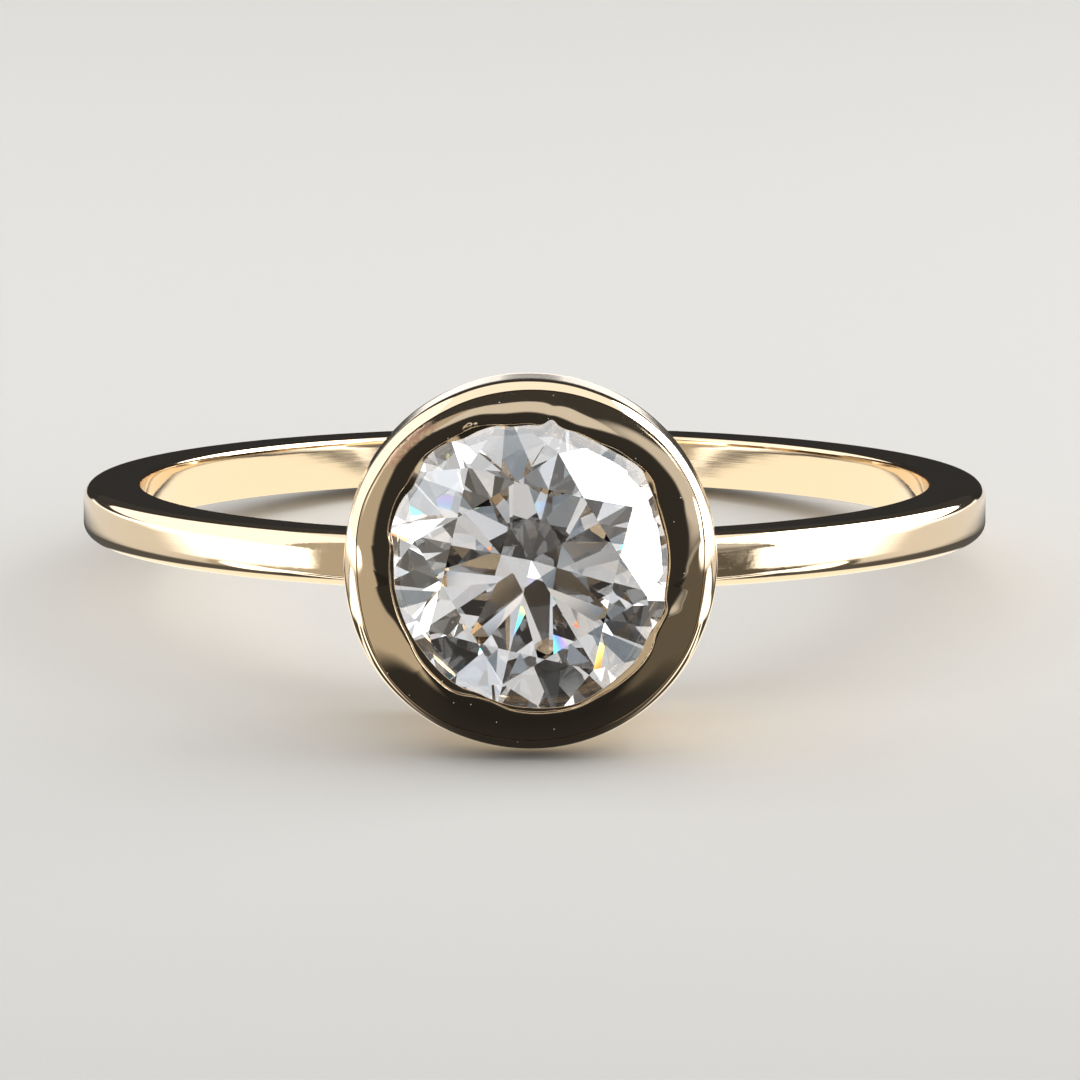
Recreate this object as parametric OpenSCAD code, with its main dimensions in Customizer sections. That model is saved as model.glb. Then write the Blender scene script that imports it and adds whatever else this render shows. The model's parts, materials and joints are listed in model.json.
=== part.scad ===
// Bezel-set solitaire ring, lying on its side as it rests on a table.
// A thin plain band carries a round collared cup that holds a round brilliant stone.
// Ring frame: the finger hole runs along Z, and the stone looks along -Y.

/* [Band] */
// Inside diameter of the finger hole
finger_d = 17.35; // [16:0.05:20]
// Thickness of the band, measured outwards from the finger
band_t = 1.26; // [1.1:0.02:1.6]
// Width of the band, along the finger
band_w = 1.15; // [0.9:0.05:1.6]
// Radius of the two outer edges of the band
band_outer_r = 0.3; // [0.1:0.05:0.4]
// Radius of the two inner edges of the band
band_inner_r = 0.1; // [0.05:0.05:0.15]

/* [Stone] */
// Diameter of the stone at its girdle
stone_d = 6.5; // [6.4:0.05:6.6]
// Table width, corner to corner, as a share of the diameter
table_share = 0.58; // [0.53:0.01:0.6]
// Slope of the crown's main facets
crown_angle = 34.5; // [32:0.5:36]
// Slope of the pavilion's main facets
pavilion_angle = 40.75; // [40:0.25:42]
// Thickness of the girdle where it is thickest
girdle_t = 0.22; // [0.2:0.01:0.26]
// Length of the star facets, from the table's edge to the girdle
star_share = 0.5; // [0.45:0.05:0.6]
// Length of the lower half facets, from the girdle to the point
lower_half_share = 0.74; // [0.7:0.02:0.84]
// Turn of the stone in its cup
stone_turn = 9; // [0:0.5:44]

/* [Cup] */
// Outside diameter of the cup's collar
cup_d = 7.8; // [7.7:0.05:8.1]
// Outside diameter of the cup's foot, at the finger
foot_d = 6.9; // [6.7:0.05:7.2]
// Diameter of the open back under the stone
back_hole_d = 5.5; // [5:0.1:5.6]
// Length of the collar's straight wall
collar_l = 1.3; // [1:0.05:1.5]
// Width of the rounded border round the face
border_w = 0.24; // [0.15:0.01:0.3]
// Height of the rounded border above the straight wall
border_h = 0.19; // [0.12:0.01:0.24]
// Rise of the face from the border to the lip
face_rise = 0.2; // [0.1:0.01:0.25]
// Thickness of the lip over the stone's edge
lip_t = 0.09; // [0.06:0.01:0.12]
// Clearance all round the stone
stone_gap = 0.03; // [0.02:0.01:0.04]
// Clearance from the stone's point to the finger hole
point_gap = 0.28; // [0.1:0.02:0.5]
// Distance from the band's middle to the cup's middle, along the finger
cup_offset = 0.3; // [0:0.05:0.4]

/* [Hidden] */
$fn = 96;

// The lip that was pushed over the stone, charted round the opening. Each row is
// [angle in degrees from +X towards the top, reach of the lip in over the girdle].
LIP_ANGLE = 0;
LIP_REACH = 1;
LIP = [
    [0, 0.34], [24, 0.31], [40, 0.12], [52, 0.16], [62, 0.24], [93, 0.23], [109, 0.11],
    [118, 0.09], [137, 0.03], [145, 0.10], [153, 0.06], [164, 0.11], [171, 0.23],
    [204, 0.25], [209, 0.32], [217, 0.24], [237, 0.16], [251, 0.27], [262, 0.19],
    [289, 0.12], [299, 0.16], [320, 0.15], [332, 0.29], [341, 0.24], [347, 0.34]
];
lip_steps = 120;

// Extra length where one shape passes through another
overlap = 0.2;
arc_steps = 8;

finger_r = finger_d / 2;
outer_r = finger_r + band_t;
stone_r = stone_d / 2;
cup_r = cup_d / 2;
foot_r = foot_d / 2;
back_hole_r = back_hole_d / 2;

// Round brilliant cut. The girdle's round edge has a few steps under each half facet.
mains = 8;
main_step = 360 / mains;
half_step = main_step / 2;
half_cuts = 4;
rim_n = mains * 2 * half_cuts;

// Heights in the stone's own frame: the crown's base is at 0 and the table is up.
table_r = stone_r * table_share;
table_h = (stone_r - table_r) * tan(crown_angle);
table_edge_r = table_r * cos(half_step);
star_r = table_edge_r + (stone_r - table_edge_r) * star_share;
star_h = (stone_r - star_r * cos(half_step)) * tan(crown_angle);
pavilion_h = stone_r * tan(pavilion_angle);
keel_r = stone_r * (1 - lower_half_share);
keel_h = -girdle_t - (stone_r - keel_r * cos(half_step)) * tan(pavilion_angle);

// Slopes of the ridges between the half facets, which the cup has to clear.
crown_ridge = star_h / (stone_r - star_r);
pavilion_ridge = (-girdle_t - keel_h) / (stone_r - keel_r);

// Distances from the finger hole's axis to the levels of the cup.
girdle_y = finger_r + point_gap + pavilion_h + girdle_t;
lip_reach_max = max([for (row = LIP) row[LIP_REACH]]);
lip_y = girdle_y + lip_reach_max * crown_ridge + stone_gap + lip_t;
face_y = lip_y - face_rise;
collar_front_y = face_y - border_h;
collar_back_y = collar_front_y - collar_l;
foot_y = sqrt(finger_r * finger_r - foot_r * foot_r) - overlap;

// The face runs from the border in to where the opening is cut through it.
border_turn = 75;
border_mid_r = cup_r - border_w;
face_r = border_mid_r + border_w * cos(border_turn);
face_end_r = stone_r - lip_reach_max - overlap;

// The ring rests on the back of the collar and on the band's far edge.
rest_reach = collar_back_y + outer_r - band_outer_r;
rest_rise = cup_r - cup_offset - band_w / 2 + band_outer_r;
tilt = atan2(rest_rise, rest_reach) - asin(band_outer_r / norm([rest_reach, rest_rise]));
lift = (outer_r - band_outer_r) * sin(tilt) + (band_w / 2 - band_outer_r) * cos(tilt)
    + band_outer_r;
front_y = -(girdle_y + table_h) * cos(tilt) - (table_r - cup_offset) * sin(tilt);
back_y = (outer_r - band_outer_r) * cos(tilt) + (band_w / 2 - band_outer_r) * sin(tilt)
    + band_outer_r;
slide = -(front_y + back_y) / 2;

// Points of an arc about c, from angle a0 to angle a1.
function arc(c, r, a0, a1, n = arc_steps) =
    [for (i = [0:n]) let (a = a0 + (a1 - a0) * i / n) c + r * [cos(a), sin(a)]];

// Reach of the lip at angle a, eased from one row of the chart to the next.
function ease(t) = t * t * (3 - 2 * t);
function lip_row(i) = i < len(LIP) ? LIP[i] : LIP[0] + [360, 0];
function lip_reach(a) =
    let (i = max([for (k = [0:len(LIP) - 1]) if (LIP[k][LIP_ANGLE] <= a) k]),
         from = lip_row(i),
         to = lip_row(i + 1),
         t = (a - from[LIP_ANGLE]) / (to[LIP_ANGLE] - from[LIP_ANGLE]))
    from[LIP_REACH] + (to[LIP_REACH] - from[LIP_REACH]) * ease(t);

// Takes a shape drawn about Z, with the stone's face up, to the cup's place on the band.
module on_cup_axis() {
    translate([0, 0, cup_offset]) rotate([90, 0, 0]) children();
}

// Lays the ring on its side, at rest on the table.
module at_rest() {
    translate([0, slide, lift]) rotate([-tilt, 0, 0]) children();
}

module band_section() {
    w = band_w / 2;
    polygon(concat(
        arc([outer_r - band_outer_r, w - band_outer_r], band_outer_r, 0, 90),
        arc([finger_r + band_inner_r, w - band_inner_r], band_inner_r, 90, 180),
        arc([finger_r + band_inner_r, band_inner_r - w], band_inner_r, 180, 270),
        arc([outer_r - band_outer_r, band_outer_r - w], band_outer_r, 270, 360)
    ));
}

module band() {
    rotate_extrude() band_section();
}

// Outside of the cup: tapered foot, straight collar, rounded border, domed face.
module cup_outside() {
    border = [for (i = [0:arc_steps]) let (a = border_turn * i / arc_steps)
        [border_mid_r + border_w * cos(a),
         collar_front_y + border_h * sin(a) / sin(border_turn)]];
    face = [for (i = [1:arc_steps]) let (t = i / arc_steps)
        [face_r + (face_end_r - face_r) * t, face_y + face_rise * t * (2 - t)]];
    rotate_extrude() polygon(concat(
        [[0, foot_y], [foot_r, foot_y], [foot_r, finger_r], [cup_r, collar_back_y]],
        border, face, [[0, lip_y]]
    ));
}

// Hollow for the stone: open back, bearing under the girdle, groove for the girdle,
// underside of the lip.
module stone_hollow() {
    groove_r = stone_r + stone_gap;
    groove_top = girdle_y + stone_gap;
    groove_low = girdle_y - girdle_t - stone_gap;
    bearing_low = groove_low - (groove_r - back_hole_r) * pavilion_ridge;
    hollow_top = groove_top + (groove_r - face_end_r) * crown_ridge;
    rotate_extrude() polygon([
        [0, foot_y - overlap], [back_hole_r, foot_y - overlap], [back_hole_r, bearing_low],
        [groove_r, groove_low], [groove_r, groove_top],
        [face_end_r, hollow_top], [0, hollow_top]
    ]);
}

// The wavy opening inside the lip.
module lip_opening() {
    translate([0, 0, girdle_y]) linear_extrude(height = lip_y - girdle_y + overlap)
        polygon([for (i = [0:lip_steps - 1]) let (a = 360 * i / lip_steps)
            (stone_r - lip_reach(a)) * [cos(a), sin(a)]]);
}

module finger_hole() {
    cylinder(h = 2 * cup_d, r = finger_r, center = true);
}

module band_and_cup() {
    color([0.93, 0.80, 0.58]) at_rest() difference() {
        union() {
            band();
            difference() {
                on_cup_axis() cup_outside();
                finger_hole();
            }
        }
        on_cup_axis() stone_hollow();
        on_cup_axis() lip_opening();
    }
}

// Height at point p of the plane through three points.
function plane_h(p, a, b, c) =
    let (n = cross(b - a, c - a)) a.z - (n.x * (p.x - a.x) + n.y * (p.y - a.y)) / n.z;
function at(r, a, z) = [r * cos(a), r * sin(a), z];

// Girdle edge at step i, on the plane of its half facet: the edge has shallow scallops.
function rim_point(i, peak_r, peak_h, base_h) =
    let (a = 360 * i / rim_n,
         h = floor(i / half_cuts),
         peak_a = main_step * (floor(h / 2) + 0.5),
         p = at(stone_r, a, 0))
    [p.x, p.y, plane_h(p, at(peak_r, peak_a, peak_h), at(stone_r, half_step * h, base_h),
        at(stone_r, half_step * (h + 1), base_h))];

// Rim steps that bound half facet h, both ends included.
function rim_run(h) = [for (k = [0:half_cuts]) (h * half_cuts + k) % rim_n];
function turned(list) = [for (k = [len(list) - 1:-1:0]) list[k]];

// Table, stars, kites, upper halves, girdle, lower halves and pavilion mains, in that order.
module brilliant() {
    points = concat(
        [for (k = [0:mains - 1]) at(table_r, main_step * k, table_h)],
        [for (k = [0:mains - 1]) at(star_r, main_step * (k + 0.5), star_h)],
        [for (i = [0:rim_n - 1]) rim_point(i, star_r, star_h, 0)],
        [for (i = [0:rim_n - 1]) rim_point(i, keel_r, keel_h, -girdle_t)],
        [for (k = [0:mains - 1]) at(keel_r, main_step * (k + 0.5), keel_h)],
        [[0, 0, -girdle_t - pavilion_h]]
    );
    star_at = mains;
    top_at = 2 * mains;
    low_at = top_at + rim_n;
    keel_at = low_at + rim_n;
    tip = keel_at + mains;
    table = [[for (k = [mains - 1:-1:0]) k]];
    stars = [for (k = [0:mains - 1]) [k, (k + 1) % mains, star_at + k]];
    kites = [for (k = [0:mains - 1])
        [k, star_at + k, top_at + 2 * half_cuts * k, star_at + (k + mains - 1) % mains]];
    upper_halves = [for (h = [0:2 * mains - 1])
        concat([star_at + floor(h / 2)], [for (i = turned(rim_run(h))) top_at + i])];
    girdle = [for (i = [0:rim_n - 1]) let (j = (i + 1) % rim_n)
        [top_at + i, top_at + j, low_at + j, low_at + i]];
    lower_halves = [for (h = [0:2 * mains - 1])
        concat([keel_at + floor(h / 2)], [for (i = rim_run(h)) low_at + i])];
    pavilions = [for (k = [0:mains - 1])
        [tip, keel_at + (k + mains - 1) % mains, low_at + 2 * half_cuts * k, keel_at + k]];
    polyhedron(points = points, faces = concat(table, stars, kites, upper_halves, girdle,
        lower_halves, pavilions), convexity = 2);
}

module diamond() {
    color([0.93, 0.95, 0.97]) at_rest() on_cup_axis()
        translate([0, 0, girdle_y]) rotate([0, 0, stone_turn]) brilliant();
}

band_and_cup();
diamond();
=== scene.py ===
"""Looks of a bezel-set solitaire ring that lies on its side on a plain pale floor.

Shapes are worked out in millimetres, in the two frames of the solids. The ring frame has the
finger hole along Z and the stone towards -Y. The cup frame has the cup's axis along Z, with the
stone's face up and the finger hole's axis at height 0.
"""
import json

import bpy
import numpy as np
from mathutils import Matrix, Vector


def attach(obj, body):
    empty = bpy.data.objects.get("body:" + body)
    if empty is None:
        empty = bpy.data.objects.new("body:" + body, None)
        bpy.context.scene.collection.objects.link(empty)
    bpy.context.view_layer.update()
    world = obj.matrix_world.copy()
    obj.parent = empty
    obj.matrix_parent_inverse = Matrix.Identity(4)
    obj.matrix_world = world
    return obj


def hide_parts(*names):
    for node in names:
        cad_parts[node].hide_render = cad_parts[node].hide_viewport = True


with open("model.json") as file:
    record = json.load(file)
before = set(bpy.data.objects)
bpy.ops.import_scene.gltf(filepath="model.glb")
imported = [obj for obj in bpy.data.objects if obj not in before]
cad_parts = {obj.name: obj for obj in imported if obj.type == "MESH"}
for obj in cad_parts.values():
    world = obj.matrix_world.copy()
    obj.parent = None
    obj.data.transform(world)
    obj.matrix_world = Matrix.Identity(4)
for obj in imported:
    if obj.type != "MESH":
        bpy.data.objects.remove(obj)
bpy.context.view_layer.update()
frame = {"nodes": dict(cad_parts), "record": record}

MM = 0.001
SHARP_ANGLE = 32

# Band, in millimetres
BAND_T = 1.26
BAND_W = 1.15
BAND_OUTER_R = 0.3
BAND_INNER_R = 0.1
SOLDER_R = 0.22

# Cup, in millimetres. Heights are distances from the finger hole's axis.
CUP_R = 3.9
FOOT_R = 3.45
BACK_HOLE_R = 2.75
CUP_OFFSET = 0.3
COLLAR_BACK = 10.695
BORDER_TOP = 12.23
CREASE_DEPTH = 0.012
CREASE_W = 0.03
GIRDLE = 11.975
GIRDLE_T = 0.22
STONE_R = 3.25
STONE_GAP = 0.03
# Slopes at which the seat runs along the stone's crown and its pavilion
CROWN_RIDGE = 0.860
PAVILION_RIDGE = 0.885

# Small edges of the cup, in millimetres
FOOT_EDGE = 0.05
BACK_EDGE = 0.04
COLLAR_EDGE = 0.02
BORDER_EDGE_W = 0.07
FACE_DROP = 0.004
LIP_MIN_T = 0.05
LIP_ROLL = 0.028
LEDGE_T = 0.02
LEDGE_STEP = 0.004

# Shares of the ledge's width that the lip's rounded edge and the ledge's tip take at most, and
# that half the step between lip and ledge takes
ROLL_SHARE = 0.45
TIP_SHARE = 0.3
STEP_SHARE = 0.06

# Leans of the cup's surface normals from its axis, in degrees
EDGE_LEANS = (90, 52)
BORDER_LEANS = (57, 40)
FACE_LEAN = 33
LEVEL_LEAN = 14.5
LIP_LEANS = (22, 82)
TIP_LEANS = (0, 35, 65)

# Slope of the ledge at the lower right, and the angle and spread of that slope in degrees
LEDGE_SLOPE = 0.75
LEDGE_SLOPE_AT = 316
LEDGE_SLOPE_SPREAD = 20

# Where the hole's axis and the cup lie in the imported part
hole = frame["record"]["mounts"][0]
FINGER_R = hole["dims"]["r_mm"]
hole_axis = Vector(hole["axis"]).normalized()
ring_centre = Vector(hole["pos_m"]) - hole_axis * CUP_OFFSET * MM
ring_to_row = Matrix.Translation(ring_centre) @ Vector((0, 0, 1)).rotation_difference(
    hole_axis).to_matrix().to_4x4()
cup_to_row = ring_to_row @ Matrix(
    ((1, 0, 0, 0), (0, 0, -1, 0), (0, 1, 0, CUP_OFFSET * MM), (0, 0, 0, 1)))


def around(chart, angle, column):
    """Reads a column of a closed chart, whose first column is degrees, at an array of angles. It
    runs smoothly through the rows: a cubic whose slope at each row is that of its neighbours."""
    rows = np.array(chart, float)
    at = np.concatenate([rows[-2:, 0] - 360, rows[:, 0], rows[:2, 0] + 360])
    value = np.concatenate([rows[-2:, column], rows[:, column], rows[:2, column]])
    slope = np.gradient(value, at)
    a = at[1] + (angle - at[1]) % 360
    i = np.clip(np.searchsorted(at, a, side="right") - 1, 0, len(at) - 2)
    span = at[i + 1] - at[i]
    t = (a - at[i]) / span
    return (value[i] * (1 + 2 * t) * (1 - t) ** 2 + value[i + 1] * t * t * (3 - 2 * t)
            + span * (slope[i] * t * (1 - t) ** 2 + slope[i + 1] * t * t * (t - 1)))


def placed(points, frame_matrix):
    """Takes an array of points in millimetres through a 4 by 4 matrix to metres in the row."""
    m = np.array(frame_matrix)
    return (points * MM) @ m[:3, :3].T + m[:3, 3]


def surface(name, grid, caps=()):
    """A mesh from a grid of points, rows along the first axis. The rows join the first to the
    last unless caps holds two points, which then close both ends; the columns always join."""
    rows, columns = grid.shape[:2]
    index = np.arange(rows * columns).reshape(rows, columns)
    across = np.roll(index, -1, axis=1)
    if len(caps):
        low, high, low_next, high_next = index[:-1], index[1:], across[:-1], across[1:]
    else:
        low, high = index, np.roll(index, -1, axis=0)
        low_next, high_next = across, np.roll(across, -1, axis=0)
    quads = np.stack([low, low_next, high_next, high], axis=-1).reshape(-1, 4).tolist()
    points = grid.reshape(-1, 3)
    if len(caps):
        first, last = len(points), len(points) + 1
        points = np.vstack([points, caps])
        quads += [(first, b, a) for a, b in zip(index[0].tolist(), across[0].tolist())]
        quads += [(last, a, b) for a, b in zip(index[-1].tolist(), across[-1].tolist())]
    mesh = bpy.data.meshes.new(name)
    mesh.from_pydata(points.tolist(), [], quads)
    mesh.polygons.foreach_set("use_smooth", np.ones(len(mesh.polygons), bool))
    mesh.set_sharp_from_angle(angle=np.radians(SHARP_ANGLE))
    mesh.update()
    return mesh


def linked(name, data):
    """A new object in the scene."""
    made = bpy.data.objects.new(name, data)
    bpy.context.scene.collection.objects.link(made)
    return made


def shown(name, mesh, finish):
    """Puts a mesh in the scene as a piece of the ring."""
    piece = linked(name, mesh)
    piece.data.materials.append(finish)
    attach(piece, "root")
    return piece


# The cup. Charts run round the face, in degrees from +X towards the top, with radii after them.
# Columns: degrees, the lip's edge, where the lip's slanted wall meets the stone
LIP = [
    (0, 2.92, 2.85), (12, 2.94, 2.87), (22, 2.97, 2.88), (28, 3.01, 2.93), (35, 3.14, 2.99),
    (41, 3.16, 3.07), (47, 3.11, 3.03), (54, 3.08, 2.97), (61, 3.02, 2.95), (71, 3.03, 2.97),
    (79, 3.05, 3.01), (82, 3.15, 3.11), (85, 3.05, 3.00), (91, 3.05, 2.97), (99, 3.06, 2.97),
    (104, 3.11, 3.03), (110, 3.18, 3.04), (118, 3.19, 3.03), (125, 3.21, 3.12),
    (135, 3.24, 3.13), (141, 3.19, 3.02), (146, 3.15, 2.97), (152, 3.17, 3.02),
    (159, 3.15, 3.03), (166, 3.10, 3.00), (171, 3.00, 2.90), (179, 2.98, 2.86),
    (190, 2.98, 2.87), (201, 2.98, 2.87), (209, 2.97, 2.88), (219, 3.05, 2.88),
    (229, 3.09, 2.91), (239, 3.10, 2.93), (248, 2.98, 2.88), (253, 2.97, 2.91),
    (262, 3.06, 2.96), (271, 3.10, 2.98), (280, 3.12, 3.02), (289, 3.13, 3.05),
    (296, 3.10, 3.01), (308, 3.10, 2.96), (321, 3.10, 2.93), (326, 3.07, 2.87),
    (332, 2.98, 2.85), (338, 2.99, 2.90), (343, 3.00, 2.92), (347, 2.92, 2.86), (353, 2.90, 2.84)]
# Columns: degrees, the crease between border and face, where the face starts to level out, the rim
FACE = [
    (0, 3.62, 3.30, 3.90), (11, 3.68, 3.40, 3.90), (21, 3.73, 3.44, 3.90),
    (33, 3.75, 3.46, 3.90), (41, 3.76, 3.41, 3.91), (51, 3.75, 3.33, 3.91),
    (61, 3.74, 3.22, 3.91), (70, 3.72, 3.16, 3.90), (78, 3.71, 3.21, 3.90),
    (90, 3.70, 3.27, 3.90), (100, 3.70, 3.28, 3.91), (110, 3.71, 3.38, 3.92),
    (120, 3.72, 3.41, 3.93), (130, 3.74, 3.47, 3.94), (138, 3.75, 3.51, 3.94),
    (148, 3.73, 3.44, 3.94), (160, 3.73, 3.39, 3.93), (170, 3.69, 3.37, 3.92),
    (180, 3.64, 3.33, 3.92), (190, 3.64, 3.27, 3.93), (197, 3.67, 3.19, 3.94),
    (205, 3.72, 3.06, 3.95), (215, 3.77, 3.04, 3.95), (226, 3.78, 3.15, 3.94),
    (240, 3.76, 3.28, 3.93), (255, 3.70, 3.33, 3.91), (280, 3.69, 3.33, 3.90),
    (300, 3.71, 3.30, 3.89), (320, 3.71, 3.22, 3.89), (332, 3.70, 3.08, 3.89),
    (341, 3.66, 3.05, 3.89), (346, 3.63, 3.12, 3.90), (352, 3.61, 3.22, 3.90)]
# Columns: degrees, radius, height of each bump of the burr on the lip
BURR = [(111.0, 3.20, 0.020), (113.4, 3.23, 0.034), (115.2, 3.22, 0.020)]
# How far each bump spreads, in degrees and in radius
BURR_SPREAD = (0.9, 0.04)

# Numbers of columns round the cup, and of rows or straight steps along its section
CUP_COLUMNS = 720
WALL_ROWS = 9
COLLAR_STEPS = 5
EDGE_ROWS = 9
BORDER_ROWS = 14
FACE_ROWS = 30
LIP_ROWS = 5
UNDERSIDE_STEPS = 4
GROOVE_STEPS = 2
BEARING_STEPS = 3
BACK_STEPS = 5
FOOT_ROWS = 6

# Power of the way up the face that crowds its rows towards the lip
FACE_CROWDING = 0.9
# Shares of the face's width between which it starts to level out
LEVEL_SHARES = (0.2, 0.94)
# The side wall's slope beyond the finger hole's radius, and how softly it bends there
CONE_SLOPE = (CUP_R - FOOT_R) / (COLLAR_BACK - FINGER_R)
CONE_BLEND = 0.05


def wall_radius(height):
    """Radius of the cup's side wall: the foot's radius up to the hole's radius, then a cone, as
    slope times log(1 + exp(x)) of the height, so that the two meet in a small round."""
    x = (height - FINGER_R) / CONE_BLEND
    return FOOT_R + CONE_SLOPE * CONE_BLEND * np.logaddexp(0, x)


def hole_height(radius, angle):
    """Height at which the finger hole cuts the cup: root of hole radius squared less x squared."""
    return np.sqrt(FINGER_R ** 2 - (radius * np.cos(np.radians(angle))) ** 2)


def run(start, end, steps):
    """Straight run between two (radius, height) pairs, without its end."""
    t = np.arange(steps) / steps
    return [(start[0] + (end[0] - start[0]) * k, start[1] + (end[1] - start[1]) * k) for k in t]


def rolled(start, width, lean_from, lean_to, steps):
    """Circular arc that runs inwards over a width while the normal's lean from the axis goes from
    one angle to the other: r falls by R (sin a - sin b) and h rises by R (cos b - cos a)."""
    a = np.radians(lean_from)
    radius = width / (np.sin(a) - np.sin(np.radians(lean_to)))
    return [(start[0] - radius * (np.sin(a) - np.sin(b)), start[1] + radius * (np.cos(b) - np.cos(a)))
            for b in np.radians(np.linspace(lean_from, lean_to, steps))]


def rolled_rise(width, lean_from, lean_to):
    """Height that such an arc gains."""
    a, b = np.radians(lean_from), np.radians(lean_to)
    return width * (np.cos(b) - np.cos(a)) / (np.sin(a) - np.sin(b))


def burr(angle, radius):
    """Height of the small ragged burr on the lip: the sum of bell curves of angle and radius."""
    height = 0
    for at, r, size in BURR:
        away = ((angle - at) / BURR_SPREAD[0]) ** 2 + ((radius - r) / BURR_SPREAD[1]) ** 2
        height = height + size * np.exp(-away)
    return height


def wall_rows(angle, rim):
    """Rows up the side wall, from the cut of the finger hole to the back of the collar. The wall
    follows the rim's waves by the square of the way up."""
    low = hole_height(FOOT_R, angle) + FOOT_EDGE
    rows = []
    for t in np.linspace(0, 1, WALL_ROWS):
        h = low + (COLLAR_BACK - COLLAR_EDGE - low) * t
        rows.append((wall_radius(h) + (rim - CUP_R) * t ** 2, h))
    return rows


def border_rows(crease, rim):
    """Rows up the collar, round its edge, inwards over the border and down into the crease."""
    border_w = rim - crease - BORDER_EDGE_W - CREASE_W / 2
    low = BORDER_TOP - rolled_rise(BORDER_EDGE_W, *EDGE_LEANS) - rolled_rise(border_w, *BORDER_LEANS)
    rows = run((rim, COLLAR_BACK + COLLAR_EDGE), (rim, low), COLLAR_STEPS)
    rows += rolled((rim, low), BORDER_EDGE_W, *EDGE_LEANS, EDGE_ROWS)
    rows += rolled(rows[-1], border_w, *BORDER_LEANS, BORDER_ROWS)[1:]
    return rows + [(crease, BORDER_TOP - CREASE_DEPTH)]


def face_rows(angle, crease, level_r, edge_r, under):
    """Rows up the concave face, and the lip's height. The face's slope is that at the crease
    times (1 - s) to a power, with s from 0 at the crease to 1 at the lip."""
    face_r, face_h = crease - CREASE_W / 2, BORDER_TOP - FACE_DROP
    width = face_r - edge_r
    slope, level_slope = np.tan(np.radians(FACE_LEAN)), np.tan(np.radians(LEVEL_LEAN))
    level_s = np.clip((face_r - level_r) / width, *LEVEL_SHARES)
    power = np.log(level_slope / slope) / np.log(1 - level_s)
    rise = np.maximum(slope * width / (power + 1), under + LIP_MIN_T - face_h)
    rows = []
    for s in np.linspace(0, 1, FACE_ROWS) ** FACE_CROWDING:
        r = face_r - width * s
        rows.append((r, face_h + rise * (1 - (1 - s) ** (power + 1)) + burr(angle, r)))
    return rows, face_h + rise


def lip_rows(angle, edge_r, meet_r, lip_h, under):
    """Rows over the lip's rounded edge to a narrow ledge, and round the ledge's tip. The ledge is
    level, but slopes down to the stone at the lower right, by a bell curve of the angle."""
    ledge_w = edge_r - meet_r
    roll = np.minimum(LIP_ROLL, ledge_w * ROLL_SHARE)
    tip = np.minimum(LEDGE_T, ledge_w * TIP_SHARE)
    step = ledge_w * STEP_SHARE
    rows = [(edge_r - roll * np.sin(b), lip_h - roll * (1 - np.cos(b)))
            for b in np.radians(np.linspace(*LIP_LEANS, LIP_ROWS))]
    ledge_r, ledge_h = edge_r - roll - step * 2, np.minimum(under + tip, lip_h - roll)
    slope = LEDGE_SLOPE * np.exp(-((angle - LEDGE_SLOPE_AT) / LEDGE_SLOPE_SPREAD) ** 2)
    raised = np.minimum(ledge_h + slope * (ledge_r - meet_r - tip), lip_h - roll)
    rows += [(ledge_r + step, raised + LEDGE_STEP), (ledge_r, raised)]
    rows += [(meet_r + tip * (1 - np.sin(b)), under + (ledge_h - under) * np.cos(b))
             for b in np.radians(TIP_LEANS)]
    return rows


def back_rows(angle, meet_r, under):
    """Rows out along the lip's underside, down the stone's groove and its bearing, down the open
    back and out along the cut of the finger hole."""
    groove_r = STONE_R + STONE_GAP
    groove_top, groove_low = GIRDLE + STONE_GAP, GIRDLE - GIRDLE_T - STONE_GAP
    bearing_low = groove_low - (groove_r - BACK_HOLE_R) * PAVILION_RIDGE
    back_low = hole_height(BACK_HOLE_R, angle) + BACK_EDGE
    rows = run((meet_r, under), (groove_r, groove_top), UNDERSIDE_STEPS)
    rows += run((groove_r, groove_top), (groove_r, groove_low), GROOVE_STEPS)
    rows += run((groove_r, groove_low), (BACK_HOLE_R, bearing_low), BEARING_STEPS)
    rows += run((BACK_HOLE_R, bearing_low), (BACK_HOLE_R, back_low), BACK_STEPS)
    rows += [(r, hole_height(r, angle))
             for r in np.linspace(BACK_HOLE_R + BACK_EDGE, FOOT_R - FOOT_EDGE, FOOT_ROWS)]
    return rows


def cup_profile(angle):
    """(radius, height) rows of the cup's closed section at an array of angles, from the foot up
    the outside, over the face and the lip, and down the inside back to the foot. The second
    value is the number of the crease's row."""
    edge_r, meet_r = around(LIP, angle, 1), around(LIP, angle, 2)
    crease, level_r, rim = (around(FACE, angle, k) for k in (1, 2, 3))
    under = GIRDLE + STONE_GAP + (STONE_R + STONE_GAP - meet_r) * CROWN_RIDGE
    outside = wall_rows(angle, rim) + border_rows(crease, rim)
    face, lip_h = face_rows(angle, crease, level_r, edge_r, under)
    lip = lip_rows(angle, edge_r, meet_r, lip_h, under)
    return outside + face + lip + back_rows(angle, meet_r, under), len(outside) - 1


def cup_mesh():
    """The cup's section carried round its axis: x is radius times cosine, y radius times sine.
    Its attribute crease is 1 along the crease and 0 elsewhere."""
    angle = np.arange(CUP_COLUMNS) * 360 / CUP_COLUMNS
    rows, crease_row = cup_profile(angle)
    r, h = (np.stack([np.broadcast_to(row[k], angle.shape) for row in rows]) for k in (0, 1))
    a = np.radians(angle)
    grid = np.stack([r * np.cos(a), r * np.sin(a), h], axis=-1)
    mesh = surface("cup", placed(grid, cup_to_row))
    in_crease = np.zeros(grid.shape[:2])
    in_crease[crease_row] = 1
    mesh.attributes.new("crease", "FLOAT", "POINT").data.foreach_set("value", in_crease.ravel())
    return mesh


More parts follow.
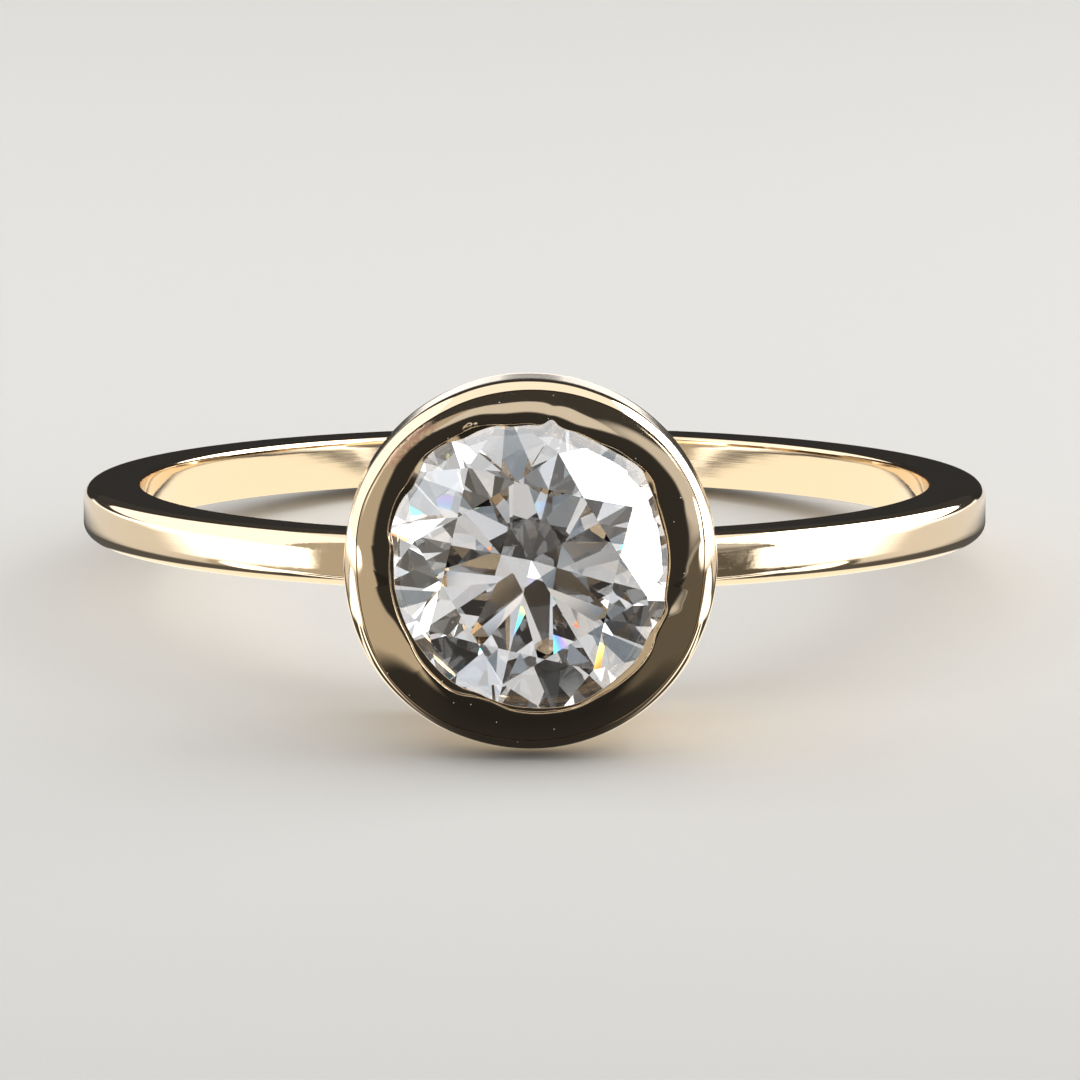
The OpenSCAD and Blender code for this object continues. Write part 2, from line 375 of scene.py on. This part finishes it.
class Finish:
    """A material under construction. node() adds a node of a type, with its settings first and
    then the values or links of its sockets, and returns its outputs as shades. done() makes a
    shader its surface."""

    def __init__(self, name):
        self.material = bpy.data.materials.new(name)
        self.material.use_nodes = True
        self.tree = self.material.node_tree
        self.tree.nodes.clear()

    def node(self, kind, settings=None, sockets=None):
        made = self.tree.nodes.new("ShaderNode" + kind)
        for key, value in (settings or {}).items():
            setattr(made, key, value)
        for key, value in (sockets or {}).items():
            if isinstance(value, Shade):
                self.tree.links.new(value.socket, made.inputs[key])
            else:
                made.inputs[key].default_value = value
        return {s.name: Shade(self, s) for s in made.outputs if s.enabled}

    def done(self, shader):
        self.node("OutputMaterial", None, {"Surface": shader})
        return self.material


class Shade:
    """A socket's value, on which Python's operators add Math nodes."""

    def __init__(self, finish, socket):
        self.finish = finish
        self.socket = socket

    def math(self, operation, *values):
        sockets = dict(enumerate(values))
        return self.finish.node("Math", {"operation": operation}, sockets)["Value"]

    def __add__(self, other):
        return self.math("ADD", self, other)

    def __sub__(self, other):
        return self.math("SUBTRACT", self, other)

    def __rsub__(self, other):
        return self.math("SUBTRACT", other, self)

    def __mul__(self, other):
        return self.math("MULTIPLY", self, other)

    def __truediv__(self, other):
        return self.math("DIVIDE", self, other)

    def __pow__(self, other):
        return self.math("POWER", self, other)

    def __abs__(self):
        return self.math("ABSOLUTE", self)

    __radd__ = __add__
    __rmul__ = __mul__

    def step(self, low, high):
        """0 below low and 1 above high, eased between them; low may be the larger one."""
        ranged = {"interpolation_type": "SMOOTHSTEP"}
        return self.finish.node("MapRange", ranged, {
            "Value": self, "From Min": low, "From Max": high})["Result"]


def turned_place(finish, piece_to_row):
    """Object coordinates taken into a piece's own frame, in millimetres: its vector, distance
    from its Z axis, angle round it in radians, and height along it."""
    to_piece = piece_to_row.inverted()
    at = finish.node("Mapping", {"vector_type": "POINT"}, {
        "Vector": finish.node("TexCoord")["Object"], "Location": to_piece.translation / MM,
        "Rotation": to_piece.to_euler(), "Scale": (1 / MM, 1 / MM, 1 / MM)})["Vector"]
    part = finish.node("SeparateXYZ", None, {"Vector": at})
    radius = (part["X"] * part["X"] + part["Y"] * part["Y"]) ** 0.5
    return at, radius, part["Y"].math("ARCTAN2", part["Y"], part["X"]), part["Z"]


def noise(finish, place, scale, detail=2.0, roughness=0.5):
    """Cloudy noise from 0 to 1 at a place, with its scale in waves along a unit of the place."""
    return finish.node("TexNoise", None, {
        "Vector": place, "Scale": scale, "Detail": detail, "Roughness": roughness})["Fac"]


def lines(finish, along, detail=4.0):
    """Noise from 0 to 1 that changes with a single value, so that it draws lines."""
    return finish.node("TexNoise", {"noise_dimensions": "1D"}, {
        "W": along, "Scale": 1.0, "Detail": detail, "Roughness": 0.7})["Fac"]


def between(value, low, high, ease):
    """1 inside a range and 0 outside it, with eased edges."""
    return value.step(low - ease, low + ease) * value.step(high + ease, high - ease)


# Fineness of the marks on the gold and the stone, as factors on millimetres or, for the strokes,
# on radians
CUP_WAVES = 0.8
CUP_LINES = 16
MOTTLE = 9.0
STROKES = 19
GRAINS = 3.6
BAND_WAVES = 0.55
BAND_LINES = 14
LINE_BENDS = 0.3
UNEVEN = 1.6
STONE_CLOUD = 0.7

# Where the marks on the cup's gold lie: angles in radians, radii and heights in millimetres
STROKE_ANGLES, STROKE_RADII = (0.95, 2.2), (3.42, 3.72)
SCUFF_ANGLES, SCUFF_RADII = (2.16, 2.52), (3.50, 3.72)
FACE_HEIGHTS = (12.15, 12.25)
SEAT_HEIGHTS, SEAT_RADII = (12.03, 11.99), (3.34, 3.32)
WALL_HEIGHTS, WALL_RADII = (11.96, 11.80), (3.36, 3.40)
# Angles in radians between which the band was soldered to the cup
SOLDER_ANGLES = (-2.2, -0.94)

GOLD = (0.93, 0.745, 0.52, 1)
ROSE = (0.90, 0.56, 0.42, 1)
DULL_GOLD = (0.50, 0.38, 0.24, 1)
DUST = (0.85, 0.84, 0.82, 1)
# Dark brown painted into the cup's crease as shade
CREASE_SHADE = (0.07, 0.045, 0.025, 1)
DIAMOND_IOR = 2.417


def gold_shader(finish, colour, metallic, rough, height):
    """Polished gold, with a height in millimetres for its bump."""
    normal = finish.node("Bump", None, {"Strength": 1.0, "Distance": MM, "Height": height})["Normal"]
    shader = finish.node("BsdfPrincipled", None, {
        "Base Color": colour, "Metallic": metallic, "Roughness": rough, "Normal": normal})["BSDF"]
    return finish.done(shader)


def tinted(finish, mask, below, above):
    """Mixes two colours by a mask, with the second one where the mask is 1."""
    return finish.node("Mix", {"data_type": "RGBA"}, {0: mask, 6: below, 7: above})["Result"]


def cup_gold():
    """Gold of the cup: waves and lines of the polishing wheel round its axis, short scratches
    across the top of the face, a scuffed rosy patch at its upper left, specks of dust, painted
    shade in the crease, a slightly softer side wall, and an unpolished seat under the stone."""
    finish = Finish("polished_gold_of_the_cup")
    at, radius, angle, height = turned_place(finish, cup_to_row)
    waves = noise(finish, at, CUP_WAVES)
    polish = lines(finish, (radius + height) * CUP_LINES)
    mottle = noise(finish, at, MOTTLE, 5.0, 0.7)

    spots = finish.node("TexVoronoi", {"voronoi_dimensions": "1D"}, {"W": angle * STROKES})
    stroke = spots["Distance"].step(0.035, 0.008) * spots["Color"].step(0.2, 0.7)
    strokes = stroke * between(angle, *STROKE_ANGLES, 0.15) * between(radius, *STROKE_RADII, 0.08)
    scuff = between(angle, *SCUFF_ANGLES, 0.05) * between(radius, *SCUFF_RADII, 0.04)
    scuff = scuff * mottle.step(0.40, 0.56)
    grains = finish.node("TexVoronoi", None, {"Vector": at, "Scale": GRAINS})["Distance"]
    on_face = height.step(*FACE_HEIGHTS)
    dust = grains.step(0.052, 0.038) * on_face
    seat = height.step(*SEAT_HEIGHTS) * radius.step(*SEAT_RADII)
    side_wall = height.step(*WALL_HEIGHTS) * radius.step(*WALL_RADII)
    crease = finish.node("Attribute", {"attribute_name": "crease"})["Fac"].step(0.15, 0.7)

    colour = tinted(finish, scuff * on_face, tinted(finish, seat, GOLD, DULL_GOLD), ROSE)
    # Painted shade: a mottled dark brown along the crease
    colour = tinted(finish, crease * (mottle * 0.6 + 0.6), colour, CREASE_SHADE)
    rough = polish * 0.05 + mottle * 0.03 + 0.015
    rough = rough + strokes * on_face * 0.12 + scuff * on_face * 0.14 + seat * 0.3 + dust * 0.5
    rough = rough + crease * 0.2 + side_wall * (mottle * 0.05 + 0.04)
    bump = waves * 0.0025 + polish * 0.00008 + scuff * mottle * 0.0015 - strokes * 0.00008
    return gold_shader(finish, tinted(finish, dust, colour, DUST), 1 - dust, rough, bump)


def band_gold():
    """Gold of the band: lines of the polishing wheel along it, low waves, and a slightly
    uneven, duller surface where it was soldered to the cup."""
    finish = Finish("polished_gold_of_the_band")
    at, radius, angle, height = turned_place(finish, ring_to_row)
    waves = noise(finish, at, BAND_WAVES)
    polish = lines(finish, (radius + height) * BAND_LINES + noise(finish, at, LINE_BENDS) * 0.8)
    soldered = between(angle, *SOLDER_ANGLES, 0.16)
    uneven = noise(finish, at, UNEVEN, 3.0, 0.6)
    rough = polish * 0.07 + 0.02 + soldered * uneven.step(0.50, 0.68) * 0.09
    bump = waves * 0.006 + polish * 0.0002 + soldered * uneven * 0.004
    return gold_shader(finish, GOLD, 1.0, rough, bump)


def cut_diamond():
    """Clear diamond with a very faint cloud of colour."""
    finish = Finish("cut_diamond")
    at = finish.node("TexCoord")["Object"]
    cloud = noise(finish, at, STONE_CLOUD / MM)
    shader = finish.node("BsdfPrincipled", None, {
        "Base Color": tinted(finish, cloud, (1, 0.99, 0.98, 1), (0.98, 0.99, 1, 1)),
        "Roughness": 0.0, "IOR": DIAMOND_IOR, "Transmission Weight": 1.0})["BSDF"]
    return finish.done(shader)


# The band, with the numbers of points along each side and round each corner of its section
BAND_STATIONS = 300
SIDE_STEPS = 6
CORNER_POINTS = 9
FILLET_STATIONS = 12
# Search for the place where the band meets the cup, in degrees from the stone, and how far its
# ends reach into the cup's wall in millimetres
MEETING_RANGE = (5.0, 60.0)
HALVINGS = 40
END_DEPTH = 0.3
END_SHRINK = 0.8


def band_section():
    """The band's rounded section as points (distance from the hole's axis, height) with their
    outward normals: four quarter circles joined by straight sides."""
    half = BAND_W / 2
    outer, inner = FINGER_R + BAND_T, FINGER_R
    points, normals = [], []
    corners = [(outer - BAND_OUTER_R, half - BAND_OUTER_R, BAND_OUTER_R, 0),
               (inner + BAND_INNER_R, half - BAND_INNER_R, BAND_INNER_R, 90),
               (inner + BAND_INNER_R, BAND_INNER_R - half, BAND_INNER_R, 180),
               (outer - BAND_OUTER_R, BAND_OUTER_R - half, BAND_OUTER_R, 270)]
    for i, (r, z, radius, start) in enumerate(corners):
        a = np.radians(start + np.linspace(0, 90, CORNER_POINTS))
        n = np.stack([np.cos(a), np.sin(a)], axis=-1)
        points.append([r, z] + radius * n)
        normals.append(n)
        r2, z2, radius2, start2 = corners[(i + 1) % 4]
        a2 = np.radians(start2)
        n2 = np.array([np.cos(a2), np.sin(a2)])
        end = np.array([r2, z2]) + radius2 * n2
        t = (np.arange(1, SIDE_STEPS) / SIDE_STEPS)[:, None]
        points.append(points[-1][-1] * (1 - t) + end * t)
        normals.append(np.repeat(n2[None], SIDE_STEPS - 1, axis=0))
    return np.vstack(points), np.vstack(normals)


def meeting_angle(r, z, clearance):
    """Angle from the stone at which a point at distance r and height z has that clearance from
    the cup's wall, found by halving the interval again and again."""
    low, high = np.full(r.shape, MEETING_RANGE[0]), np.full(r.shape, MEETING_RANGE[1])
    for _ in range(HALVINGS):
        middle = (low + high) / 2
        a = np.radians(middle)
        away = np.hypot(r * np.sin(a), z - CUP_OFFSET) - wall_radius(r * np.cos(a)) - clearance
        low, high = np.where(away < 0, middle, low), np.where(away < 0, high, middle)
    return (low + high) / 2


def band_mesh():
    """The section carried round the hole, from the cup's left side to its right. Towards the cup
    it swells into a solder fillet: a quarter circle, with b from 0 to 90 degrees, whose points
    have the clearance R (1 - sin b) from the wall and stand out by R (1 - cos b). Its narrowed
    ends are tucked into the wall."""
    section, normal = band_section()
    swell = np.clip(1 + np.minimum(normal[:, 0], 0), 0, 1)
    fillet = np.radians(np.linspace(0, 90, FILLET_STATIONS))[:, None]
    stand = SOLDER_R * (1 - np.cos(fillet)) * swell
    r = section[:, 0] + stand * normal[:, 0]
    z = section[:, 1] + stand * normal[:, 1]
    at_wall = meeting_angle(r, z, SOLDER_R * (1 - np.sin(fillet)) + 0 * r)
    middle = section.mean(axis=0)
    tucked = middle + (np.stack([r[-1], z[-1]], axis=-1) - middle) * END_SHRINK
    inside = meeting_angle(tucked[:, 0], tucked[:, 1], np.full(len(tucked), -END_DEPTH))
    t = np.linspace(0, 1, BAND_STATIONS)[:, None]
    open_run = at_wall[0] + (360 - 2 * at_wall[0]) * t
    ends = np.vstack([at_wall, inside])
    angle = np.vstack([ends[::-1][:-1], open_run, (360 - ends)[1:]])
    r_end, z_end = np.vstack([r, tucked[:, 0]]), np.vstack([z, tucked[:, 1]])
    one = np.ones((BAND_STATIONS, 1))
    r_all = np.vstack([r_end[::-1][:-1], one * r[0], r_end[1:]])
    z_all = np.vstack([z_end[::-1][:-1], one * z[0], z_end[1:]])
    a = np.radians(angle)
    grid = np.stack([-r_all * np.sin(a), -r_all * np.cos(a), z_all], axis=-1)
    caps = [grid[0].mean(axis=0), grid[-1].mean(axis=0)]
    return surface("band", placed(grid, ring_to_row), placed(np.array(caps), ring_to_row))


# Camera. Angles are in degrees, its distance and sensor in millimetres, its clip limits in metres.
FRAME_PX = 1080
FOCAL_PX = 10466
CAMERA_RISE = 7.286
CAMERA_TURN = 0.362
CAMERA_AWAY = 230.8
CENTRE_PX = (534.6, 506.2)
SENSOR = 36.0
CLIP_START = 0.01
CLIP_END = 10


def add_camera():
    """Stands the camera at its distance from the ring's centre, CAMERA_RISE degrees above the
    plane of the ring and CAMERA_TURN degrees to the right, with the centre at its place in the
    picture."""
    rise, turn = np.radians(CAMERA_RISE), np.radians(CAMERA_TURN)
    back = Vector((np.cos(rise) * np.sin(turn), -np.cos(rise) * np.cos(turn), np.sin(rise)))
    right = Vector((np.cos(turn), np.sin(turn), 0))
    up = back.cross(right)
    per_px = CAMERA_AWAY / FOCAL_PX
    aim = (right * (FRAME_PX / 2 - CENTRE_PX[0]) + up * (CENTRE_PX[1] - FRAME_PX / 2)) * per_px
    where = ring_to_row @ (back * CAMERA_AWAY * MM)
    target = ring_to_row @ (aim * MM)
    camera = linked("camera", bpy.data.cameras.new("camera"))
    camera.data.sensor_width = SENSOR
    camera.data.lens = SENSOR * FOCAL_PX / FRAME_PX
    camera.data.clip_start = CLIP_START
    camera.data.clip_end = CLIP_END
    camera.location = where
    up_row = ring_to_row.to_3x3() @ up
    z = (where - target).normalized()
    x = up_row.cross(z).normalized()
    y = z.cross(x)
    camera.rotation_euler = Matrix((x, y, z)).transposed().to_euler()
    bpy.context.scene.camera = camera


# The studio. Places are in millimetres in the row's frame, sizes are whole widths and heights.
MIDDLE = (0, 0, 5)
UPWARDS = None
# A direction whose level part is shorter than this counts as upright
UPRIGHT = 0.001


def facing(place, towards, spin=0):
    """Matrix that stands at a place with its Z axis towards a point, or upwards, and its X axis
    level, then turned round Z by a spin in degrees."""
    z = Vector((0, 0, 1)) if towards is UPWARDS else (Vector(towards) - Vector(place)).normalized()
    across = Vector((0, 0, 1)).cross(z)
    x = across.normalized() if across.length > UPRIGHT else Vector((1, 0, 0))
    y = z.cross(x)
    turned = Matrix((x, y, z)).transposed().to_4x4()
    return Matrix.Translation(Vector(place) * MM) @ turned @ Matrix.Rotation(np.radians(spin), 4, "Z")


def softbox(name, place, towards, width, height, radiance):
    """A rectangular lamp of an even radiance, which lights the floor alone."""
    data = bpy.data.lights.new(name, "AREA")
    data.shape = "RECTANGLE"
    data.size, data.size_y = width * MM, height * MM
    data.energy = radiance * np.pi * width * height * MM * MM
    lamp = linked(name, data)
    lamp.matrix_world = facing(place, towards) @ Matrix.Rotation(np.pi, 4, "X")
    lamp.visible_camera = lamp.visible_glossy = lamp.visible_transmission = False


def ramp(finish, along, stops):
    """Colour at a value from 0 to 1, read between rows of (place, colour)."""
    colour = finish.node("ValToRGB", None, {"Fac": along})["Color"]
    elements = colour.socket.node.color_ramp.elements
    while len(elements) < len(stops):
        elements.new(1.0)
    for element, (place, shade) in zip(elements, stops):
        element.position = place
        element.color = (*shade, 1)
    return colour


WHITE = (1, 1, 1)
RED, ORANGE, YELLOW = (1, 0.12, 0.06), (1, 0.42, 0.10), (1, 0.88, 0.25)
GREEN, CYAN, BLUE, VIOLET = (0.25, 1, 0.45), (0.12, 0.80, 1), (0.18, 0.30, 1), (0.55, 0.22, 1)
# Shares of a fringe's width at which its second and third colours are full
FRINGE_SECOND, FRINGE_THIRD = 0.35, 0.7
# The floor's side, in metres
FLOOR_SIDE = 4.0
FLOOR_COLOUR = (0.56, 0.55, 0.53, 1)


def rectangle(name, width, height):
    """A flat mesh round its own origin, with its sizes in metres."""
    x, y = width / 2, height / 2
    mesh = bpy.data.meshes.new(name)
    mesh.from_pydata([(-x, -y, 0), (x, -y, 0), (x, y, 0), (-x, y, 0)], [], [(0, 1, 2, 3)])
    return mesh


def card(name, place, towards, width, height, radiance, colour, feather, corners, spin, fringe=0,
         in_gold=True, in_stone=True):
    """A card with soft edges that only shows in the metal or through the stone, as a flag or a
    panel. Its outline is where |2x/w|^n + |2y/h|^n is 1, with n the value of corners, and it
    fades over the feather's share. A fringe is the share of its width that turns blue along one
    edge and red along the other, as a cut stone spreads a lamp's light."""
    made = linked(name, rectangle(name, width * MM, height * MM))
    made.matrix_world = facing(place, towards, spin)
    finish = Finish(name)
    at = finish.node("SeparateXYZ", None, {"Vector": finish.node("TexCoord")["Object"]})
    across, along = at["X"] / (width * MM / 2), at["Y"] / (height * MM / 2)
    out = (abs(across) ** corners + abs(along) ** corners) ** (1 / corners)
    shade = (*colour, 1)
    if fringe:
        second, third = fringe * FRINGE_SECOND, fringe * FRINGE_THIRD
        shade = ramp(finish, across * 0.5 + 0.5, [
            (0, VIOLET), (second, BLUE), (third, CYAN), (fringe, colour),
            (1 - fringe, colour), (1 - third, YELLOW), (1 - second, ORANGE), (1, RED)])
    lit = finish.node("Emission", None, {"Color": shade, "Strength": radiance})["Emission"]
    clear = finish.node("BsdfTransparent")["BSDF"]
    mixed = finish.node("MixShader", None, {0: out.step(1, 1 - feather), 1: clear, 2: lit})
    made.data.materials.append(finish.done(mixed["Shader"]))
    made.visible_camera = made.visible_diffuse = made.visible_shadow = False
    made.visible_glossy, made.visible_transmission = in_gold, in_stone


def add_floor():
    """A plain pale floor at height 0."""
    floor = linked("floor", rectangle("floor", FLOOR_SIDE, FLOOR_SIDE))
    finish = Finish("pale_floor")
    shader = finish.node("BsdfDiffuse", None, {"Color": FLOOR_COLOUR})["BSDF"]
    floor.data.materials.append(finish.done(shader))


# Radiance of the surroundings for mirrors, for the floor and for rays that leave the stone
WALLS = 0.045
FILL = 0.5
THROUGH_STONE = 0.74


def add_world():
    """Dim walls for what mirrors them, a soft even fill for the floor, and some light from all
    sides for rays that leave the stone."""
    world = bpy.data.worlds.new("studio")
    bpy.context.scene.world = world
    world.use_nodes = True
    tree = world.node_tree
    path = tree.nodes.new("ShaderNodeLightPath")
    strength = None
    for ray, value in (("Is Diffuse Ray", FILL), ("Is Transmission Ray", THROUGH_STONE)):
        mixed = tree.nodes.new("ShaderNodeMix")
        mixed.data_type = "FLOAT"
        mixed.inputs[2].default_value = WALLS
        mixed.inputs[3].default_value = value
        tree.links.new(path.outputs[ray], mixed.inputs[0])
        if strength:
            tree.links.new(strength, mixed.inputs[2])
        strength = mixed.outputs[0]
    tree.links.new(strength, tree.nodes["Background"].inputs["Strength"])
    tree.nodes["Background"].inputs["Color"].default_value = (*WHITE, 1)


# Flecks of coloured light. Sizes are in millimetres, angles in degrees.
FLECKS = 700
FLECK_SIZE = (1.5, 0.8)
FLECKS_AWAY = 84
FLECK_RADIANCE = 2.8
FLECKS_FROM = 12
FLECKS_OVER = 50
FLECK_LEAN = 50
GOLDEN_ANGLE = 137.5


def add_fire():
    """Small flecks in the colours of the spectrum, which the stone shows as its fire. They stand
    on a sphere in a spiral round the cup's axis: each is a golden angle further on, and its angle
    from the axis grows with the square root of its share of the count. Each leans by a fixed
    angle more than the one before. Their attribute runs from 0 to 1 along each of them."""
    i = np.arange(FLECKS)
    away = np.radians(FLECKS_FROM + FLECKS_OVER * np.sqrt(i / FLECKS))
    turn = np.radians(i * GOLDEN_ANGLE)
    way = np.stack([np.sin(away) * np.cos(turn), np.sin(away) * np.sin(turn), np.cos(away)], -1)
    level = np.stack([-np.sin(turn), np.cos(turn), 0 * turn], -1)
    steep = np.cross(way, level)
    lean = np.radians(i * FLECK_LEAN)[:, None]
    along = (level * np.cos(lean) + steep * np.sin(lean)) * FLECK_SIZE[0] / 2
    across = (steep * np.cos(lean) - level * np.sin(lean)) * FLECK_SIZE[1] / 2
    centre = way * FLECKS_AWAY + (0, 0, BORDER_TOP)
    corners = np.stack([centre - along - across, centre + along - across, centre + along + across,
                        centre - along + across], axis=1)
    corners = placed(corners.reshape(-1, 3), cup_to_row)
    above = (corners[:, 2].reshape(-1, 4) > 0).all(axis=1)
    corners = corners.reshape(-1, 4, 3)[above].reshape(-1, 3)
    mesh = bpy.data.meshes.new("fire")
    mesh.from_pydata(corners.tolist(), [], np.arange(len(corners)).reshape(-1, 4).tolist())
    colour_place = np.tile((0.0, 1.0, 1.0, 0.0), len(corners) // 4)
    mesh.attributes.new("spectrum", "FLOAT", "POINT").data.foreach_set("value", colour_place)
    finish = Finish("fire")
    colours = (RED, ORANGE, YELLOW, GREEN, CYAN, BLUE, VIOLET)
    shade = ramp(finish, finish.node("Attribute", {"attribute_name": "spectrum"})["Fac"], [
        (k / (len(colours) - 1), colour) for k, colour in enumerate(colours)])
    lit = finish.node("Emission", None, {"Color": shade, "Strength": FLECK_RADIANCE})["Emission"]
    mesh.materials.append(finish.done(lit))
    fire = linked("fire", mesh)
    fire.visible_camera = fire.visible_diffuse = fire.visible_shadow = False
    fire.visible_glossy = False


# Columns: name, place, point faced, width, height, radiance
LAMPS = [
    ("right_lamp", (85, 25, 70), (0, 25, 70), 105, 140, 2.4),
    ("left_lamp", (-85, 25, 70), (0, 25, 70), 105, 140, 1.8),
    ("top_lamp", (0, 16, 150), (0, 16, 0), 230, 142, 1.3)]
# Cards that only the gold mirrors. Of two that lie on the floor, the higher one shows.
# Columns: name, place, point faced, width, height, radiance, colour, feather, corners, spin
GOLD_CARDS = [
    ("right_box", (80, 26.5, 70), (0, 26.5, 70), 170, 134, 7, WHITE, 0.03, 8, -13),
    ("left_box", (-80, 26.5, 70), (0, 26.5, 70), 170, 134, 1.5, WHITE, 0.03, 8, 13),
    ("top_box", (0, 16, 150), (0, 16, 0), 240, 170, 1.15, WHITE, 0.2, 4, 0),
    ("front_wall_right", (120, -100, 57), (120, 0, 57), 200, 124, 0.64, WHITE, 0.45, 4, 0),
    ("front_wall_left", (-120, -100, 57), (-120, 0, 57), 200, 124, 0.48, (1, 0.93, 0.8), 0.06, 4, 0),
    ("front_wall_middle", (0, -99, 57), (0, 0, 57), 90, 124, 0.7, WHITE, 0.06, 4, 0),
    ("camera_flag", (0, -92, 24), MIDDLE, 116, 66, 0.03, WHITE, 0.25, 4, 0),
    ("floor_front_left", (-55, -55, 0.032), UPWARDS, 112, 100, 0.5, (1, 0.92, 0.78), 0.02, 16, 0),
    ("floor_front_right", (55, -55, 0.036), UPWARDS, 112, 100, 0.12, (1, 0.92, 0.78), 0.02, 16, 0),
    # Painted shade: in the gold, the dark card under the cup stands in for the ring's shadow on the
    # floor
    ("floor_flag_cup", (-1, -12, 0.05), UPWARDS, 16, 5, 0.03, WHITE, 0.5, 3, 0),
    ("floor_flag_ahead", (0, -21.5, 0.06), UPWARDS, 7.4, 24, 0.02, WHITE, 0.3, 4, 0),
    ("floor_flag_fan", (0, -99, 0.07), UPWARDS, 114, 173, 0.02, WHITE, 0.1, 1, 0),
    # Painted shade: in the gold, the dark round card stands in for the shadow on the floor round the
    # ring
    ("floor_flag_round", (0, 0, 0.04), UPWARDS, 34, 27, 0.1, WHITE, 0.2, 2, 0),
    ("floor_panel_inside", (0, 0, 0.06), UPWARDS, 21, 21, 1.15, (1, 0.97, 0.88), 0.05, 2, 0),
    ("floor_panel_behind", (0, 213, 0.03), UPWARDS, 300, 376, 1.3, WHITE, 0.1, 4, 0),
    ("floor_flag_behind", (-1, 400, 0.04), UPWARDS, 22, 460, 0.03, WHITE, 0.03, 4, 0),
    ("low_flag_behind", (0, 12.6, 2.5), (0, 0, 2.5), 32, 3.8, 0.03, WHITE, 0.06, 4, 0)]
# Pairs of such cards that lie face up on the floor, one the mirror image of the other.
# Columns: name, the right one's place, width, height, radiance, colour, feather, corners, its spin
GOLD_PAIRS = [
    ("floor_panel", (110.7, -1.5, 0.09), 166, 126, 2.1, WHITE, 0.08, 4, -28),
    # Painted shade: in the gold, the dark pair beside the cup stands in for the shaded floor near the
    # ring
    ("floor_flag_under", (7, -9.6, 0.055), 12, 4.4, 0.06, WHITE, 0.2, 4, 0),
    ("floor_strip_ahead", (8, -10.5, 0.08), 12, 0.8, 1.9, WHITE, 0.6, 2, 0),
    ("floor_strip", (8, -9.1, 0.08), 12, 0.8, 1.9, WHITE, 0.6, 2, 0),
    ("floor_panel_beside", (17, -9.2, 0.1), 15, 5.4, 2.1, WHITE, 0.15, 4, 0)]
# Cards that only rays through the stone see.
# Columns: as for GOLD_CARDS, and then the fringe
STONE_CARDS = [
    ("stone_front", (0, -94, 5), MIDDLE, 52, 30, 0.03, (1, 0.9, 0.8), 0.3, 4, 0, 0),
    ("stone_front_high", (0, -95, 31), MIDDLE, 64, 30, 0.3, (0.78, 0.9, 1), 0.2, 4, 0, 0),
    ("stone_floor", (0, -60, 0.08), UPWARDS, 60, 112, 0.05, (1, 0.88, 0.78), 0.3, 4, 0, 0),
    ("stone_floor_left", (-80, -50, 0.09), UPWARDS, 110, 100, 0.5, (1, 0.9, 0.8), 0.2, 4, 0, 0),
    ("stone_low_right", (40, -88, 14), MIDDLE, 38, 46, 0.8, (1, 0.97, 0.94), 0.05, 4, 0, 0),
    ("stone_low_left", (-40, -88, 18), MIDDLE, 38, 52, 0.9, (0.9, 0.94, 1), 0.05, 4, 0, 0),
    ("stone_above", (0, -84, 78), MIDDLE, 90, 40, 0.95, WHITE, 0.05, 4, 0, 0.03),
    ("stone_right", (86, -5, 70), (0, -5, 70), 110, 134, 2.2, (1, 0.98, 0.96), 0.04, 4, -9, 0.025),
    ("stone_left", (-86, -5, 70), (0, -5, 70), 110, 134, 1.4, (0.9, 0.93, 1), 0.04, 4, 9, 0.025),
    ("stone_top", (0, -10, 150), (0, -10, 0), 230, 210, 2.3, (0.97, 0.98, 1), 0.04, 4, 0, 0.015)]


def add_studio():
    """The lamps that light the floor, and the cards that the gold and the stone see."""
    for row in LAMPS:
        softbox(*row)
    for row in GOLD_CARDS:
        card(*row, in_stone=False)
    for name, (x, y, z), *look, spin in GOLD_PAIRS:
        for side, side_name in ((-1, "left"), (1, "right")):
            card(name + "_" + side_name, (side * x, y, z), UPWARDS, *look, side * spin, in_stone=False)
    for row in STONE_CARDS:
        card(*row, in_gold=False)
    add_fire()


BOUNCES = 24
GLOSSY_BOUNCES = 12


def set_light_paths():
    """Enough bounces for light to find its way through the stone, and colours shown as they are."""
    cycles = bpy.context.scene.cycles
    cycles.max_bounces = BOUNCES
    cycles.transmission_bounces = BOUNCES
    cycles.glossy_bounces = GLOSSY_BOUNCES
    cycles.transparent_max_bounces = BOUNCES
    bpy.context.scene.view_settings.view_transform = "Standard"


cup = shown("cup", cup_mesh(), cup_gold())
band = shown("band", band_mesh(), band_gold())
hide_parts("band_and_cup")
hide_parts("band_and_cup")
stone = frame["nodes"]["diamond"]
stone.data.materials.clear()
stone.data.materials.append(cut_diamond())

add_camera()
add_floor()
add_world()
add_studio()
set_light_paths()
